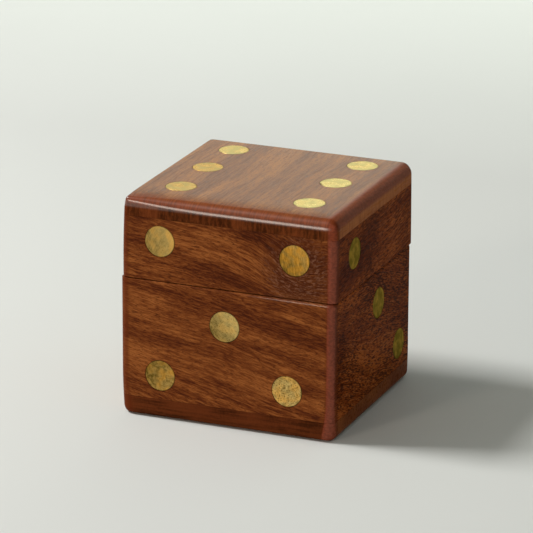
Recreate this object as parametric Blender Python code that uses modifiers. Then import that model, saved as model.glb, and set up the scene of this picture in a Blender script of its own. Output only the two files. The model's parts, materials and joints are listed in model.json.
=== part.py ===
"""Dice box: a wooden box finished as one large playing die, with a lift-off lid.

The base and the lid are each four mitred walls glued to a panel that laps over them. Four liner strips
stand inside the base and rise above its rim, and the lid drops over them. Brass pips are let into blind
recesses, so that opposite faces add up to seven. The whole outside is rounded over as one block.

Metres, +Z up. The origin is the middle of the underside, the front is -Y and the right-hand side is +X.
"""

import math

import bmesh
import bpy
from mathutils import Matrix, Vector

# Outside of the closed box.
WIDTH = 0.076
DEPTH = 0.073
HEIGHT = 0.076
LID_HEIGHT = 0.02805
EDGE_RADIUS = 0.0035

# Boards.
PANEL_THICKNESS = 0.0066
WALL_THICKNESS = 0.0064
LINER_THICKNESS = 0.0030
LINER_RISE = 0.0060
LINER_EASE = 0.0006

# Inlaid pips. An inset runs from the outside of the box to the middle of a pip.
PIP_DIAMETER = 0.0106
PIP_DEPTH = 0.0020
PIP_INSET_X = 0.0148
PIP_INSET_Y = 0.0140
PIP_INSET_Z = 0.0150
MIDDLE_PIP_DROP = 0.01245
TOP_PATTERN_SHIFT = 0.0023
RIGHT_PATTERN_SHIFT = 0.0026

# Clearances.
GLUE_GAP = 0.0003
SEAM_GAP = 0.0003
LINER_PLAY = 0.0004
PIP_GAP = 0.0003

# Extra wood left on a rough board, which the rounding-over takes off.
ROUGH_ALLOWANCE = 0.0010

EDGE_SEGMENTS = 5
PIP_SEGMENTS = 36

# Levels that follow from the sizes above.
LID_EDGE_Z = HEIGHT - LID_HEIGHT
RIM_Z = LID_EDGE_Z - SEAM_GAP
FLOOR_Z = PANEL_THICKNESS
CEILING_Z = HEIGHT - PANEL_THICKNESS

# Pip rows and columns that follow from the insets.
PIP_X = WIDTH / 2 - PIP_INSET_X
PIP_Y = DEPTH / 2 - PIP_INSET_Y
PIP_HIGH_Z = HEIGHT - PIP_INSET_Z
PIP_MIDDLE_Z = RIM_Z - MIDDLE_PIP_DROP
PIP_LOW_Z = PIP_INSET_Z

SIDES = ("front", "right", "back", "left")
UP = Vector((0, 0, 1))


def clear_scene():
    for obj in list(bpy.data.objects):
        bpy.data.objects.remove(obj, do_unlink=True)


def new_collection(name):
    collection = bpy.data.collections.new(name)
    bpy.context.scene.collection.children.link(collection)
    return collection


def new_material(name, colour, roughness, metallic=0.0):
    material = bpy.data.materials.new(name)
    material.use_nodes = True
    shader = material.node_tree.nodes["Principled BSDF"]
    shader.inputs["Base Color"].default_value = (*colour, 1.0)
    shader.inputs["Roughness"].default_value = roughness
    shader.inputs["Metallic"].default_value = metallic
    material.diffuse_color = (*colour, 1.0)
    return material


def new_object(name, bm, collection, material=None, matrix=None):
    """An object from a bmesh, with its own copy of the material."""
    bmesh.ops.recalc_face_normals(bm, faces=bm.faces)
    mesh = bpy.data.meshes.new(name)
    bm.to_mesh(mesh)
    bm.free()
    obj = bpy.data.objects.new(name, mesh)
    if matrix is not None:
        obj.matrix_world = matrix
    if material is not None:
        own = material.copy()
        own.name = name
        mesh.materials.append(own)
    collection.objects.link(obj)
    return obj


def hide_cutter(obj):
    obj.hide_render = True
    obj.display_type = "WIRE"


def add_boolean(obj, operation, other):
    modifier = obj.modifiers.new(operation.title() + " " + other.name, "BOOLEAN")
    modifier.operation = operation
    modifier.solver = "EXACT"
    modifier.object = other


def block(low, high):
    """A bmesh box between two corners."""
    size = Vector(high) - Vector(low)
    middle = (Vector(high) + Vector(low)) / 2
    bm = bmesh.new()
    bmesh.ops.create_cube(bm, size=1.0, matrix=Matrix.Translation(middle) @ Matrix.Diagonal((*size, 1.0)))
    return bm


def saw(bm, point, outward):
    """Cuts off what lies beyond a plane and closes the cut."""
    geometry = bm.verts[:] + bm.edges[:] + bm.faces[:]
    bmesh.ops.bisect_plane(bm, geom=geometry, plane_co=point, plane_no=outward, clear_outer=True)
    bmesh.ops.holes_fill(bm, edges=[edge for edge in bm.edges if edge.is_boundary])


def side_matrix(side, half_width, half_depth):
    """The frame of one side: X along it to the right as seen from outside, Y inwards, Z up."""
    turn = math.radians(90) * SIDES.index(side)
    distance = half_depth if side in ("front", "back") else half_width
    return Matrix.Rotation(turn, 4, "Z") @ Matrix.Translation((0, -distance, 0))


def mitred_board(length, thickness, low_z, high_z, allowance=0.0):
    """A board whose ends are sawn at 45 degrees, in the frame of its side, with its outer face at Y = 0."""
    reach = length / 2 + allowance
    bm = block((-reach, -allowance, low_z), (reach, thickness, high_z))
    for end in (-1, 1):
        outward = Vector((end, 1, 0)).normalized()
        saw(bm, Vector((end * length / 2, 0, 0)) - outward * GLUE_GAP / 2, outward)
    return bm


def side_length(side, width, depth):
    return width if side in ("front", "back") else depth


def face_matrix(face):
    """The frame of one face of the die: Z out of the face, Y up a wall, X to the right as seen from outside."""
    if face == "top":
        return Matrix.Translation((0, 0, HEIGHT))
    if face == "bottom":
        return Matrix.Rotation(math.pi, 4, "X")
    return side_matrix(face, WIDTH / 2, DEPTH / 2) @ Matrix.Rotation(math.radians(90), 4, "X")


def millimetres(*values):
    return [value / 1000 for value in values]


def pip_places():
    """Every pip as (name, face, board, X, Y in the frame of its face), with how far hand drilling set it off."""
    top_y = [row * PIP_Y + TOP_PATTERN_SHIFT for row in (-1, 0, 1)]
    right_y = [row * PIP_Y + RIGHT_PATTERN_SHIFT for row in (-1, 0, 1)]
    lid, base = "lid", "base"
    patterns = {
        "top": [
            (lid, -PIP_X, top_y[0], -0.4, 0.0),
            (lid, -PIP_X, top_y[1], -0.8, 1.0),
            (lid, -PIP_X, top_y[2], -0.5, 0.5),
            (lid, PIP_X, top_y[0], -0.9, -0.7),
            (lid, PIP_X, top_y[1], -1.0, 0.8),
            (lid, PIP_X, top_y[2], 0.1, 0.2),
        ],
        "front": [
            (lid, -PIP_X, PIP_HIGH_Z, -0.9, 0.6),
            (lid, PIP_X, PIP_HIGH_Z, 0.2, 0.0),
            (base, 0, PIP_MIDDLE_Z, -0.6, 0.0),
            (base, -PIP_X, PIP_LOW_Z, -0.4, 0.1),
            (base, PIP_X, PIP_LOW_Z, -1.7, 0.9),
        ],
        "right": [
            (lid, right_y[0], PIP_HIGH_Z, -0.3, -0.4),
            (base, right_y[1], PIP_MIDDLE_Z, 1.4, 0.9),
            (base, right_y[2], PIP_LOW_Z, -1.2, 0.3),
        ],
        "left": [
            (lid, -PIP_Y, PIP_HIGH_Z, 0.3, 0.2),
            (lid, PIP_Y, PIP_HIGH_Z, -0.2, 0.1),
            (base, -PIP_Y, PIP_LOW_Z, 0.4, -0.2),
            (base, PIP_Y, PIP_LOW_Z, -0.1, 0.3),
        ],
        "back": [
            (lid, -PIP_X, PIP_HIGH_Z, 0.4, 0.0),
            (base, PIP_X, PIP_LOW_Z, -0.3, 0.2),
        ],
        "bottom": [(base, 0, 0, 0.3, -0.2)],
    }
    panels = {"top": "lid_top_panel", "bottom": "base_bottom_panel"}
    for face, rows in patterns.items():
        for number, (body, x, y, drift_x, drift_y) in enumerate(rows, 1):
            drift_x, drift_y = millimetres(drift_x, drift_y)
            board = panels.get(face, f"{body}_{face}_wall")
            yield f"pip_{face}_{number}", face, board, x + drift_x, y + drift_y


def disc(radius, bottom, top):
    """A round disc between two heights."""
    bm = bmesh.new()
    bmesh.ops.create_cone(
        bm,
        cap_ends=True,
        segments=PIP_SEGMENTS,
        radius1=radius,
        radius2=radius,
        depth=top - bottom,
        matrix=Matrix.Translation((0, 0, (top + bottom) / 2)),
    )
    return bm


def make_outer_form(cutters):
    """The rounded-over block that every outside board is shaped to."""
    form = new_object("outer_form", block((-WIDTH / 2, -DEPTH / 2, 0), (WIDTH / 2, DEPTH / 2, HEIGHT)), cutters)
    bevel = form.modifiers.new("Rounded edges", "BEVEL")
    bevel.width = EDGE_RADIUS
    bevel.segments = EDGE_SEGMENTS
    bevel.limit_method = "NONE"
    hide_cutter(form)
    return form


def make_panel(name, low_z, high_z, parts, outer_form, wood):
    """A panel over the whole footprint, left rough outside and shaped to the outer form."""
    rough = Vector((WIDTH / 2 + ROUGH_ALLOWANCE, DEPTH / 2 + ROUGH_ALLOWANCE, 0))
    panel = new_object(name, block(UP * low_z - rough, UP * high_z + rough), parts, wood)
    add_boolean(panel, "INTERSECT", outer_form)
    return panel


def make_walls(body, low_z, high_z, parts, outer_form, wood):
    """Four mitred walls, shaped to the outer form."""
    walls = {}
    for side in SIDES:
        board = mitred_board(side_length(side, WIDTH, DEPTH), WALL_THICKNESS, low_z, high_z, ROUGH_ALLOWANCE)
        matrix = side_matrix(side, WIDTH / 2, DEPTH / 2)
        name = f"{body}_{side}_wall"
        walls[name] = new_object(name, board, parts, wood, matrix)
        add_boolean(walls[name], "INTERSECT", outer_form)
    return walls


def make_liner(parts, wood):
    """Four mitred strips inside the base, with their upper long edges eased to lead the lid on."""
    inset = WALL_THICKNESS + LINER_PLAY
    top = RIM_Z + LINER_RISE
    for side in SIDES:
        length = side_length(side, WIDTH, DEPTH) - 2 * inset
        strip = mitred_board(length, LINER_THICKNESS, FLOOR_Z + GLUE_GAP, top)
        long_edges = [
            edge
            for edge in strip.edges
            if all(vert.co.z > top - LINER_EASE for vert in edge.verts)
            and abs(edge.verts[0].co.y - edge.verts[1].co.y) < LINER_EASE / 2
        ]
        bmesh.ops.bevel(strip, geom=long_edges, offset=LINER_EASE, segments=1, affect="EDGES")
        matrix = side_matrix(side, WIDTH / 2 - inset, DEPTH / 2 - inset)
        new_object(f"liner_{side}", strip, parts, wood, matrix)


def make_pips(boards, parts, cutters, brass):
    """Each pip lies flush in a blind recess cut in its board."""
    for name, face, board, x, y in pip_places():
        matrix = face_matrix(face) @ Matrix.Translation((x, y, 0))
        pip = new_object(name, disc(PIP_DIAMETER / 2, -PIP_DEPTH, 0), parts, brass, matrix)
        pip.data.shade_smooth()
        pip.data.set_sharp_from_angle(angle=math.radians(40))
        hole = disc(PIP_DIAMETER / 2 + PIP_GAP, -PIP_DEPTH - PIP_GAP, ROUGH_ALLOWANCE)
        recess = new_object(name.replace("pip", "recess"), hole, cutters, None, matrix)
        hide_cutter(recess)
        add_boolean(boards[board], "DIFFERENCE", recess)


def main():
    clear_scene()
    parts = new_collection("dice_box")
    cutters = new_collection("dice_box_cutters")
    panel_wood = new_material("panel_wood", (0.19, 0.09, 0.045), 0.32)
    wall_wood = new_material("wall_wood", (0.17, 0.065, 0.025), 0.30)
    liner_wood = new_material("liner_wood", (0.25, 0.13, 0.07), 0.55)
    brass = new_material("brass", (0.62, 0.46, 0.16), 0.35, 1.0)

    outer_form = make_outer_form(cutters)
    boards = {
        "base_bottom_panel": make_panel("base_bottom_panel", -ROUGH_ALLOWANCE, FLOOR_Z, parts, outer_form, panel_wood),
        "lid_top_panel": make_panel(
            "lid_top_panel", CEILING_Z, HEIGHT + ROUGH_ALLOWANCE, parts, outer_form, panel_wood
        ),
    }
    boards |= make_walls("base", FLOOR_Z + GLUE_GAP, RIM_Z, parts, outer_form, wall_wood)
    boards |= make_walls("lid", LID_EDGE_Z, CEILING_Z - GLUE_GAP, parts, outer_form, wall_wood)
    make_liner(parts, liner_wood)
    make_pips(boards, parts, cutters, brass)


main()
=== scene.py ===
"""Looks of a wooden dice box finished as a large playing die, with brass pips and a lift-off lid.

Laid out as a Blender add-on and run as a script. Every board, liner strip and pip is a surface worked
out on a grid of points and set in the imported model's own frame, in metres, with +Z up and the front at
-Y.
"""

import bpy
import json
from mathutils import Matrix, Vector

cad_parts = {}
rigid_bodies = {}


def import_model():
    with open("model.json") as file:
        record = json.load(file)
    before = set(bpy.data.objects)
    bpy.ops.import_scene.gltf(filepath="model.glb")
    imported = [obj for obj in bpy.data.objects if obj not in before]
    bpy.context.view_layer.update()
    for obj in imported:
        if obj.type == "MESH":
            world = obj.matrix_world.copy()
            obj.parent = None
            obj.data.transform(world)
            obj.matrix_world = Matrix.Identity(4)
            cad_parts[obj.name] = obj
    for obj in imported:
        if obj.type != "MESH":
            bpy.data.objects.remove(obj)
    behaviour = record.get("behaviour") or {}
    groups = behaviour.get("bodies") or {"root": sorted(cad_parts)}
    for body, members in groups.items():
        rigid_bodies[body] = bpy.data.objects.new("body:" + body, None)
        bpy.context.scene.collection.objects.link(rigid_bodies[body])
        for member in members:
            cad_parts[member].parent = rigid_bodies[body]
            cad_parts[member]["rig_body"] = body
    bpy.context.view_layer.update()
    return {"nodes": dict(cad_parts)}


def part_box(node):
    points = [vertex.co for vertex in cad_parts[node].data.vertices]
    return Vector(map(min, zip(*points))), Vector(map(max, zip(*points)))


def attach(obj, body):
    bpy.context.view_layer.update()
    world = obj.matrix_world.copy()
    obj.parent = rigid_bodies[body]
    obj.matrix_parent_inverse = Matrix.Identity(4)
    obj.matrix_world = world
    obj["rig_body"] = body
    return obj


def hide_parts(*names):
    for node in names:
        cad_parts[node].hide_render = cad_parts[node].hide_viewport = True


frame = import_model()

import json
import math

import bpy
import numpy as np
from bpy.props import FloatProperty, FloatVectorProperty, PointerProperty
from bpy.types import Operator, Panel, PropertyGroup
from mathutils import Euler, Matrix, Vector

bl_info = {
    "name": "Dice Box Looks",
    "version": (1, 0, 0),
    "blender": (4, 5, 0),
    "location": "View3D > Sidebar > Dice Box",
    "description": "Finished boards, brass pips and studio stage for a wooden dice box",
    "category": "Object",
}

MM = 0.001
SIDES = ("front", "right", "back", "left")
FACES = {"top": 6, "front": 5, "right": 3, "left": 4, "back": 2, "bottom": 1}
SHARP_FROM = 35  # degrees between two facets from which the edge between them is sharp
ROUND = np.linspace(0, 2 * math.pi, 97)[:-1]  # the angles of the points round a pip and round its recess


# ------------------------------------------------------------------ settings


def length(name, description, default_mm, smallest_mm=0.0):
    """A length setting whose default is written in millimetres."""
    return FloatProperty(
        name=name, description=description, default=default_mm * MM, min=smallest_mm * MM, unit="LENGTH"
    )


def colour(name, description, red, green, blue):
    """A colour setting whose default is written as screen values from 0 to 255."""

    def linear(value):
        value /= 255
        return value / 12.92 if value <= 0.04045 else ((value + 0.055) / 1.055) ** 2.4

    return FloatVectorProperty(
        name=name,
        description=description,
        default=(linear(red), linear(green), linear(blue)),
        subtype="COLOR",
        min=0.0,
        max=1.0,
    )


def number(name, description, default, high=1.0):
    """A plain number setting, from 0 up to its highest value."""
    return FloatProperty(name=name, description=description, default=default, min=0.0, max=high)


def angle(name, description, degrees):
    """An angle setting whose default is written in degrees."""
    return FloatProperty(name=name, description=description, default=math.radians(degrees), subtype="ANGLE")


class DiceBoxShape(PropertyGroup):
    """How the boards are rounded and how they meet."""

    corner_radius: length("Corner radius", "Rounding of the upright edges at mid height", 2.6, 0.5)
    crown_radius: length("Crown radius", "Rounding of the front upright edges at the top", 1.7, 0.3)
    back_crown_radius: length("Back crown radius", "Rounding of the back upright edges at the top", 4.6, 0.3)
    back_extra: length("Back corner extra", "How much rounder the two upright edges at the back are", 1.2)
    foot_radius: length("Foot radius", "Rounding of the upright edges where they meet the floor", 4.6, 0.5)
    foot_height: length("Foot height", "Height over which the upright edges widen to the foot", 16.0, 1.0)
    top_radius: length("Top radius", "Rounding of the top's front edge, but for its left end", 3.45, 0.5)
    top_tight_radius: length("Tight radius", "Rounding of the top's left edge and front left", 1.45, 0.3)
    top_side_width: length("Top side width", "Width of the rounding along the top's right edge", 4.4, 0.5)
    top_side_height: length("Top side height", "Height of the rounding along the top's right edge", 3.5, 0.5)
    top_left_height: length("Top left height", "Height of the rounding along the top's left edge", 4.2, 0.5)
    front_droop: length("Front droop", "How much the top falls off to its front edge", 0.45)
    droop_reach: length("Droop reach", "How far in from the front edge the top starts to fall off", 10.0, 1.0)
    sole_radius: length("Sole radius", "Rounding of the edges round the underside", 2.6, 0.5)
    joint_gap: length("Joint gap", "Width of the glued joints on the outside", 0.05)
    joint_ease: length("Joint ease", "Rounding of the board edges at the glued joints", 0.06)
    rim_ease: length("Rim ease", "Rounding of the base's edge at the seam, on the left", 0.15)
    rim_roll: length("Rim roll", "Rounding of the base's edge at the seam, on the right", 1.1)
    lid_offset: length("Lid offset", "How far the loose lid sits to the right on its liner", 0.36)
    lid_lean: length("Lid lean", "How far the lid's left face leans in at the top", 1.1)
    lid_back: length("Lid back", "How far the loose lid sits to the back on its liner", 0.3)
    recess_gap: length("Recess gap", "Gap all round a pip", 0.08)


class DiceBoxWood(PropertyGroup):
    """Tones of the polished hardwood."""

    light: colour("Light tone", "Palest streaks of the long grain", 160, 94, 46)
    middle: colour("Middle tone", "Body colour of the wood", 118, 61, 26)
    dark: colour("Dark tone", "Dark bands of the figure", 84, 37, 16)
    pore: colour("Pore tone", "Open pores and flecks", 44, 19, 9)
    # Edge tone: the crest of the front right upright edge, partly sanded wear and partly a painted highlight;
    # it also tints the top's broad right rounding
    edge: colour("Edge tone", "Crest of the sanded edges", 138, 68, 46)
    edge_side: colour("Edge side tone", "Either side of the sanded crest", 98, 42, 18)
    roll: colour("Roll tone", "Rounded front edge of the top", 134, 64, 32)
    end: colour("End tone", "End grain of the two panels", 92, 44, 20)
    knot: colour("Knot tone", "Greyish flecks round a knot", 130, 90, 70)
    roughness: number("Roughness", "Gloss of the lacquer", 0.26)


class DiceBoxBrass(PropertyGroup):
    """Tones of the inlaid brass."""

    pale: colour("Pale tone", "Freshly sanded brass", 226, 202, 132)
    warm: colour("Warm tone", "Brass under a film of lacquer", 212, 154, 60)
    tarnish: colour("Tarnish tone", "Dull brown patches and pits", 100, 79, 24)
    roughness: number("Roughness", "Gloss of the sanded faces", 0.42)


class DiceBoxStage(PropertyGroup):
    """Floor, light and camera."""

    floor: colour("Floor tone", "Pale seamless floor", 218, 219, 214)
    azimuth: angle("Camera azimuth", "How far the camera stands to the right of the front", 22.06)
    elevation: angle("Camera elevation", "How far the camera looks down", 18.29)
    roll: angle("Camera roll", "Tilt of the picture about its middle", 0.29)
    distance: length("Camera distance", "From the aim to the camera", 1318.7, 100.0)
    aim_height: length("Aim height", "Height that the camera looks at", 44.3)
    aim_across: length("Aim across", "How far left of the middle of the box the camera looks", 1.4)
    aim_depth: length("Aim depth", "How far behind the middle of the box the camera looks", 1.9)
    lens: FloatProperty(name="Lens", description="Focal length", default=266.0, min=10.0, unit="CAMERA")
    key_power: number("Key power", "Soft square light high on the left", 15.5, high=500.0)
    strip_power: number("Strip power", "Low strip light at the left front", 5.0, high=500.0)
    back_power: number("Back power", "Soft light on the backdrop", 41.0, high=500.0)
    world_power: number("Surround", "Strength of the pale surround", 0.24, high=10.0)


# ------------------------------------------------------------------ frame


def settings(name):
    """The settings group of this name."""
    return getattr(bpy.context.scene, "dice_box_" + name)


def outer_size():
    """Half width, half depth and height of the closed box."""
    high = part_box("lid_top_panel")[1]
    return high.x, high.y, high.z


def joint_levels():
    """Heights of the lower joint, the base's rim, the lid's lower edge and the upper joint."""
    base_low, base_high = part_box("base_front_wall")
    lid_low, lid_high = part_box("lid_front_wall")
    floor = (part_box("base_bottom_panel")[1].z + base_low.z) / 2
    ceiling = (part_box("lid_top_panel")[0].z + lid_high.z) / 2
    return floor, base_high.z, lid_low.z, ceiling


def side_matrix(side, half_width, half_depth):
    """The frame of one side: X along it to the right as seen from outside, Y inwards, Z up."""
    turn = math.radians(90) * SIDES.index(side)
    reach = half_depth if side in ("front", "back") else half_width
    return Matrix.Rotation(turn, 4, "Z") @ Matrix.Translation((0, -reach, 0))


def half_length(side, half_width, half_depth):
    """Half the length of a side along its face."""
    return half_width if side in ("front", "back") else half_depth


def upright_radii(height):
    """Rounding of the upright edges at a height, at the front and at the back. It is the corner radius
    below the seam, with the extra at the back, and grows to the foot radius with the square of the
    distance down. Over the lid it runs to the crown radius, evenly at the front and with the square of
    the height at the back."""
    shape = settings("shape")
    top, rim = outer_size()[2], joint_levels()[1]
    low = np.clip(1 - height / shape.foot_height, 0, 1)
    high = np.clip((height - rim) / (top - rim), 0, 1)
    front = shape.corner_radius + (shape.foot_radius - shape.corner_radius) * low**2
    back = front + shape.back_extra * (1 - low)
    crown = shape.crown_radius - shape.corner_radius
    back_crown = shape.back_crown_radius - shape.corner_radius - shape.back_extra
    return front + crown * high, back + back_crown * high**2


# ------------------------------------------------------------------ surfaces


def point_numbers(points):
    """The number of each point of a grid, in the grid's rows and columns."""
    rows, columns = points.shape[:2]
    return np.arange(rows * columns).reshape(rows, columns)


def grid_mesh(name, points):
    """A closed mesh from a grid of points (rows, columns, 3): columns run round it, and both ends are
    capped."""
    index = point_numbers(points)
    after = np.roll(index, -1, axis=1)
    quads = np.stack((index[:-1], after[:-1], after[1:], index[1:]), axis=-1).reshape(-1, 4)
    faces = quads.tolist() + [index[0, ::-1].tolist(), index[-1].tolist()]
    mesh = bpy.data.meshes.new(name)
    mesh.from_pydata(points.reshape(-1, 3).tolist(), [], faces)
    mesh.update()
    return mesh


def eased(distance, radius):
    """How far a quarter-round edge of this radius draws back at a distance from the end of the board."""
    into = np.clip(radius - distance, 0, radius)
    return radius - np.sqrt(np.maximum(radius**2 - into**2, 0))


def end_rows(low, high, steps):
    """Heights from low to high, close together at both ends where the edges are eased."""
    near = np.array([0, 0.015, 0.04, 0.08, 0.14, 0.22, 0.32, 0.45, 0.6, 0.8, 1.0, 1.2]) * MM
    middle = np.linspace(low + 1.5 * MM, high - 1.5 * MM, steps)
    return np.concatenate((low + near, middle, high - near[::-1]))


def wall_points(side, half, thickness, low, high, low_ease, high_eases):
    """A mitred wall in the frame of its side. Each row is a section at one height: a flat outer face
    between two eighth-round corners, which end on the 45 degree mitres, then the two inner corners. The
    eases round the outer face over at its lower and upper edge, and the upper one runs evenly from its
    left to its right value. The sum of two slow sine waves keeps the face from being dead flat."""
    turn = np.radians(np.linspace(0, 45, 9))
    z = end_rows(low, high, 22)[:, None]
    front, back = upright_radii(z)
    left_radius = front if side in ("front", "right") else back
    right_radius = front if side in ("front", "left") else back
    face = np.linspace(0, 1, 25)[None, :]
    support = 0.2 * MM
    left = -(half - left_radius) + support
    right = half - right_radius - support
    x = np.hstack(
        (
            -(half - left_radius) - left_radius * np.sin(turn[::-1]),
            left + (right - left) * face,
            half - right_radius + right_radius * np.sin(turn),
        )
    )
    flat = np.zeros((len(z), face.size))
    y = np.hstack((left_radius * (1 - np.cos(turn[::-1])), flat, right_radius * (1 - np.cos(turn))))
    radius = np.where(x < 0, left_radius, right_radius)
    left_ease, right_ease = high_eases
    high_ease = left_ease + (right_ease - left_ease) * (x / half + 1) / 2
    draw = eased(z - low, low_ease) + eased(high - z, high_ease)
    corner_x = np.sign(x) * (half - radius)
    outside = np.abs(x) > half - radius
    shrink = np.where(outside, 1 - draw / radius, 1)
    x = np.where(outside, corner_x + (x - corner_x) * shrink, x)
    y = np.where(outside, radius + (y - radius) * shrink, draw)
    wave = np.sin(x / (7.3 * MM) + z / (11 * MM)) + np.sin(z / (6.1 * MM) - x / (13 * MM))
    fading = np.clip((half - radius - np.abs(x)) / (4 * MM), 0, 1)
    y = y + np.where(outside, 0, 0.018 * MM * wave * fading)
    inner = half - thickness
    x = np.hstack((x, np.full_like(z, inner), np.full_like(z, -inner)))
    y = np.hstack((y, np.full_like(z, thickness), np.full_like(z, thickness)))
    return np.stack((x, y, np.broadcast_to(z, x.shape)), axis=-1)


def rounded_rectangle(half_x, half_y, front_radius, back_radius):
    """Points round a rectangle with quarter-round corners, counter-clockwise from the front left, with
    the same number of points in each ring. The two radii are columns with a number for each ring."""
    turn = np.radians(np.linspace(0, 90, 15))
    along = np.linspace(-0.985, 0.985, 21)
    front_x, front_y = half_x - front_radius, half_y - front_radius
    back_x, back_y = half_x - back_radius, half_y - back_radius
    up = (back_y - front_y) / 2 + along * (back_y + front_y) / 2
    x = np.hstack(
        (
            along * front_x,
            front_x + front_radius * np.sin(turn),
            half_x + 0 * up,
            back_x + back_radius * np.cos(turn),
            -along * back_x,
            -back_x - back_radius * np.sin(turn),
            -half_x + 0 * up,
            -front_x - front_radius * np.cos(turn),
        )
    )
    y = np.hstack(
        (
            -half_y + 0 * up,
            -front_y - front_radius * np.cos(turn),
            up,
            back_y + back_radius * np.sin(turn),
            half_y + 0 * up,
            back_y + back_radius * np.cos(turn),
            up[:, ::-1],
            -front_y - front_radius * np.sin(turn),
        )
    )
    return x, y


def panel_points(half_x, half_y, joint, face, top):
    """A panel over the whole footprint. Rings start in the middle of the glued face, run out to the
    joint, up the straight edge and over the rounding, and close in over the outer face. Each side's
    rounding is a quarter of an ellipse, as wide and as tall as edge_rounding says. The outer face sinks
    a little to its rim, and the top also falls off to its front edge with the square of the
    distance."""
    shape = settings("shape")
    up = 1 if face > joint else -1
    depth = abs(face - joint)
    tallest = max(shape.top_side_height, shape.top_left_height, shape.sole_radius)
    ease = shape.joint_ease
    ease_turn = np.radians(np.linspace(0, 90, 5))
    round_turn = np.radians(np.linspace(0, 90, 31))
    level = np.concatenate(
        (
            ease * (1 - np.cos(ease_turn)),
            ease + (depth - tallest - ease) * np.linspace(0.1, 0.9, 4),
            depth - tallest + tallest * np.sin(round_turn),
        )
    )[:, None]
    eased_in = ease - np.sqrt(np.maximum(ease**2 - np.clip(ease - level, 0, ease) ** 2, 0))
    rim_fall = 0.08 * MM
    heights = joint + up * level * (depth - rim_fall) / depth
    closing = np.clip((level - depth + tallest) / tallest, 0, 1)
    front, back = (np.maximum(radius * (1 - 0.8 * closing**4), 0.3 * MM) for radius in upright_radii(heights))
    x, y = rounded_rectangle(half_x, half_y, front, back)
    along, across = (x / half_x + 1) / 2, (y / half_y + 1) / 2

    def inset(width, height):
        rise = np.clip((level - (depth - height)) / height, 0, 1)
        return eased_in + width * (1 - np.sqrt(1 - rise**2))

    left, right, near, far = (inset(*size) for size in edge_rounding(along, across, top))
    x = x + left * (1 - along) - right * along
    y = y + near * (1 - across) - far * across
    z = np.broadcast_to(heights, x.shape)
    scale = np.concatenate(([0.994], np.linspace(0.97, 0.05, 28)))[:, None]
    top_x, top_y = x[-1] * scale, y[-1] * scale
    top_z = np.broadcast_to(face - up * rim_fall * scale**6, top_x.shape)
    under = np.array([0.05, 0.5, 0.9, 0.99])[:, None]
    x, y = np.vstack((x[0] * under, x, top_x)), np.vstack((y[0] * under, y, top_y))
    z = np.vstack((np.full((4, z.shape[1]), joint), z, top_z))
    if top:
        share = np.clip((shape.droop_reach - half_y - y) / shape.droop_reach, 0, 1)
        z = z - shape.front_droop * share**2 * (z - joint) / depth
    points = np.stack((x, y, z), axis=-1)
    return points if up > 0 else points[:, ::-1]


def edge_rounding(along, across, top):
    """Width and height of a panel's rounding on its left, right, front and back. Round the top, the
    left edge is narrow, the right one widens to the back, and the front one is tight at its left
    end."""
    shape = settings("shape")
    if not top:
        return [(shape.sole_radius, shape.sole_radius)] * 4
    full = np.clip((along - 0.02) / 0.42, 0, 1)
    front = shape.top_tight_radius + (shape.top_radius - shape.top_tight_radius) * full * (2 - full)
    right = shape.top_side_width * (0.75 + 0.25 * across)
    left = (shape.top_tight_radius, shape.top_left_height)
    return left, (right, shape.top_side_height), (front, front), (shape.top_tight_radius * 1.6,) * 2


def strip_points(half, thickness, low, high, ease):
    """A mitred liner strip in the frame of its side: a plain trapezoid whose two upper long edges are
    eased."""
    turn = np.linspace(0, math.pi / 2, 7)[1:]
    z = np.concatenate((np.linspace(low, high - ease, 6), high - ease + ease * np.sin(turn)))[:, None]
    draw = eased(high - z, ease)
    along = np.linspace(-1, 1, 9)[None, :]
    outer_x = along * (half - draw)
    inner_x = along[:, ::-1] * (half - thickness + draw)
    x = np.hstack((outer_x, inner_x))
    y = np.hstack((draw + 0 * outer_x, thickness - draw + 0 * inner_x))
    return np.stack((x, y, np.broadcast_to(z, x.shape)), axis=-1)


def pip_points(radius, depth, seed, notch=None):
    """A brass disc, face up at Z = 0: rings close in over a very slightly dished and rippled face from
    an eased rim. The outline is a circle, drawn in by up to 1.6 per cent by two slow cosine waves, with
    a bell-shaped notch if one is given as its angle and depth."""
    phase = seed * 1.7
    outline = 1 - 0.005 * (1 + np.cos(2 * ROUND + phase)) - 0.003 * (1 + np.cos(5 * ROUND + 2 * phase))
    if notch:
        where, deep = notch
        away = np.angle(np.exp(1j * (ROUND - where)))
        outline = outline - deep * np.exp(-((away / 0.16) ** 2))
    ease = 0.1 * MM
    turn = np.radians(np.linspace(0, 90, 6))
    ring = np.concatenate(([0.1, 1, 1], 1 - ease / radius * (1 - np.cos(turn)), np.linspace(0.95, 0.03, 14)))
    level = np.concatenate(([-depth, -depth, -depth / 2], ease * (np.sin(turn) - 1), np.zeros(14)))
    r = radius * ring[:, None] * outline[None, :]
    x = r * np.cos(ROUND)
    y = r * np.sin(ROUND)
    ripple = np.sin(x / (1.9 * MM) + phase) * np.cos(y / (2.3 * MM) - phase)
    face = np.clip((0.985 - ring) / 0.1, 0, 1)[:, None] * (np.arange(len(ring)) > 3)[:, None]
    z = level[:, None] + face * (0.012 * MM * ripple - 0.02 * MM * (1 - ring[:, None] ** 2))
    return np.stack((x, y, z), axis=-1)


def lean_in(mesh):
    """Leans the lid's left face in towards the top: the shift grows with the square of the height over
    the seam, and with the fourth power of the distance to the left of the middle of the box."""
    half_x, _, height = outer_size()
    rim = joint_levels()[1]
    points = np.empty(len(mesh.vertices) * 3)
    mesh.vertices.foreach_get("co", points)
    points = points.reshape(-1, 3)
    share = np.clip((points[:, 2] - rim) / (height - rim), 0, 1)
    weight = np.clip(-points[:, 0] / half_x, 0, 1)
    points[:, 0] += settings("shape").lid_lean * share**2 * weight**4
    mesh.vertices.foreach_set("co", points.ravel())
    mesh.update()


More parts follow.
